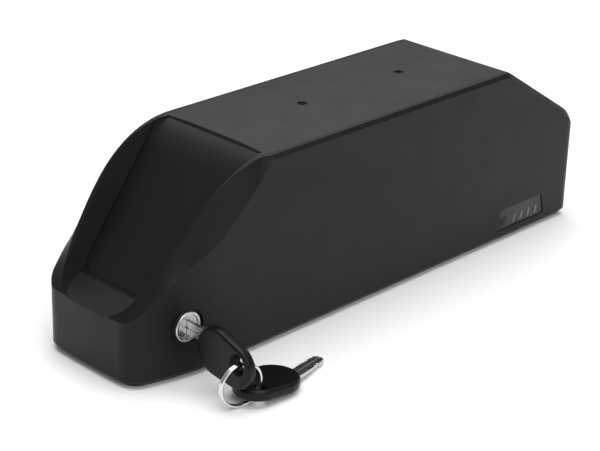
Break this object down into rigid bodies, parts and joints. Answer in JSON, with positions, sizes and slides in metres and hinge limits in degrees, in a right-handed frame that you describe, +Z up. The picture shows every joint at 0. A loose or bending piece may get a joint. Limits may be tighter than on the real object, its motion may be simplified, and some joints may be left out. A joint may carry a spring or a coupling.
{
  "type": "bicycle battery pack",
  "caption": "Lockable battery pack with a sloped nose for a bicycle's down tube, with lock and keys, charge gauge, charge port and a dock channel underneath.",
  "frame": {"origin": "middle of the casing's underside, on the centre line, where the dock rail runs", "axes": "+X from the nose to the tail, +Z up from the base to the spine, -Y is the side with the lock and the gauge"},
  "size_m": [0.3655, 0.144, 0.113],
  "materials": {
    "housing": "moulded, fine satin",
    "spine_cover": "moulded, satin",
    "base_plate": "moulded, textured",
    "gasket": "smooth",
    "screw_steel": "black oxide",
    "lock_chrome": "nickel plated",
    "lock_brass": "machined",
    "cam_steel": "stamped, zinc plated",
    "bolt_steel": "turned, plated",
    "guide_plastic": "moulded",
    "key_steel": "milled, nickel plated",
    "key_plastic": "moulded, satin",
    "ring_chrome": "polished",
    "gauge_panel": "moulded",
    "gauge_window": "translucent smoke",
    "button_rubber": "silicone",
    "board": "solder mask",
    "led": "clear epoxy",
    "switch_metal": "stamped",
    "cell_wrap": "shrink sleeve",
    "holder_plastic": "moulded",
    "nickel": "rolled",
    "insulation": "fish paper",
    "foam": "closed-cell foam",
    "transistor": "moulded",
    "heat_sink": "extruded",
    "connector_white": "moulded",
    "connector_black": "moulded",
    "fuse_body": "translucent",
    "contact_brass": "plated",
    "bead": "epoxy bead",
    "cable_red": "silicone sheath",
    "cable_black": "silicone sheath",
    "cable_white": "silicone sheath",
    "port_plastic": "moulded",
    "cap_rubber": "moulded"
  },
  "bodies": {
    "pack": {"housing": "housing", "spine_cover": "spine_cover", "base_plate": "base_plate", "base_gasket": "gasket", "spine_screws": "screw_steel", "base_screws": "screw_steel", "lock_body": "lock_chrome", "lock_nut": "lock_brass", "bolt_guide": "guide_plastic", "gauge_panel": "gauge_panel", "gauge_bars": "gauge_window", "button_switch": "switch_metal", "gauge_board": "board", "gauge_leds": "led", "battery_cells": "cell_wrap", "cell_holder_left": "holder_plastic", "cell_holder_right": "holder_plastic", "nickel_strips_left": "nickel", "nickel_strips_right": "nickel", "insulation_sheet_left": "insulation", "insulation_sheet_right": "insulation", "foam_pads": "foam", "floor_pad": "foam", "bms_board": "board", "bms_standoffs": "cam_steel", "bms_transistors": "transistor", "bms_heat_sink": "heat_sink", "balance_connector": "connector_white", "fuse_holder": "connector_black", "fuse": "fuse_body", "thermistor": "bead", "discharge_connector": "connector_black", "discharge_contacts": "contact_brass", "charge_port": "port_plastic", "charge_port_pin": "contact_brass", "charge_port_nut": "lock_brass", "cap_strap": "cap_rubber", "discharge_lead_negative": "cable_black", "discharge_lead_positive": "cable_red", "pack_lead_negative": "cable_black", "charge_lead": "cable_red", "gauge_lead": "cable_white", "balance_harness": "cable_white", "thermistor_lead": "cable_white"},
    "plug": {"lock_plug": "lock_chrome", "lock_cam": "cam_steel", "cam_screw": "cam_steel"},
    "bolt": {"lock_bolt": "bolt_steel"},
    "key": {"key_head": "key_plastic", "key_blade": "key_steel"},
    "ring": {"key_ring": "ring_chrome"},
    "spare_key": {"spare_key_head": "key_plastic", "spare_key_blade": "key_steel"},
    "button": {"test_button": "button_rubber"},
    "port_cap": {"charge_port_cap": "cap_rubber"}
  },
  "joints": [
    {"name": "lock_turn", "type": "hinge", "parent": "pack", "child": "plug", "pos_m": [-0.149, -0.03, 0.031], "axis": [0, -1, 0], "range_deg": [0, 90]},
    {"name": "bolt_slide", "type": "slide", "parent": "pack", "child": "bolt", "axis": [0, 0, 1], "range_m": [0, 0.006]},
    {"name": "key_pull", "type": "slide", "parent": "plug", "child": "key", "axis": [0, -1, 0], "range_m": [0, 0.03]},
    {"name": "ring_swing", "type": "hinge", "parent": "key", "child": "ring", "pos_m": [-0.149, -0.084, 0.02495], "axis": [1, 0, 0], "range_deg": [-12, 1.5]},
    {"name": "spare_key_swing", "type": "hinge", "parent": "ring", "child": "spare_key", "pos_m": [-0.13916, -0.08609, 0.00641], "axis": [0.5327, -0.1132, 0.8387], "range_deg": [-5, 1]},
    {"name": "button_press", "type": "slide", "parent": "pack", "child": "button", "axis": [0, 1, 0], "range_m": [0, 0.0008], "stiffness_N_per_m": 300},
    {"name": "charge_cap_hinge", "type": "hinge", "parent": "pack", "child": "port_cap", "pos_m": [0.13, 0.0472, 0.03565], "axis": [1, 0, 0], "range_deg": [0, 140]}
  ],
  "couplings": [
    {"joint": "bolt_slide", "follows": "lock_turn", "m_per_rad": 0.0038197}
  ]
}
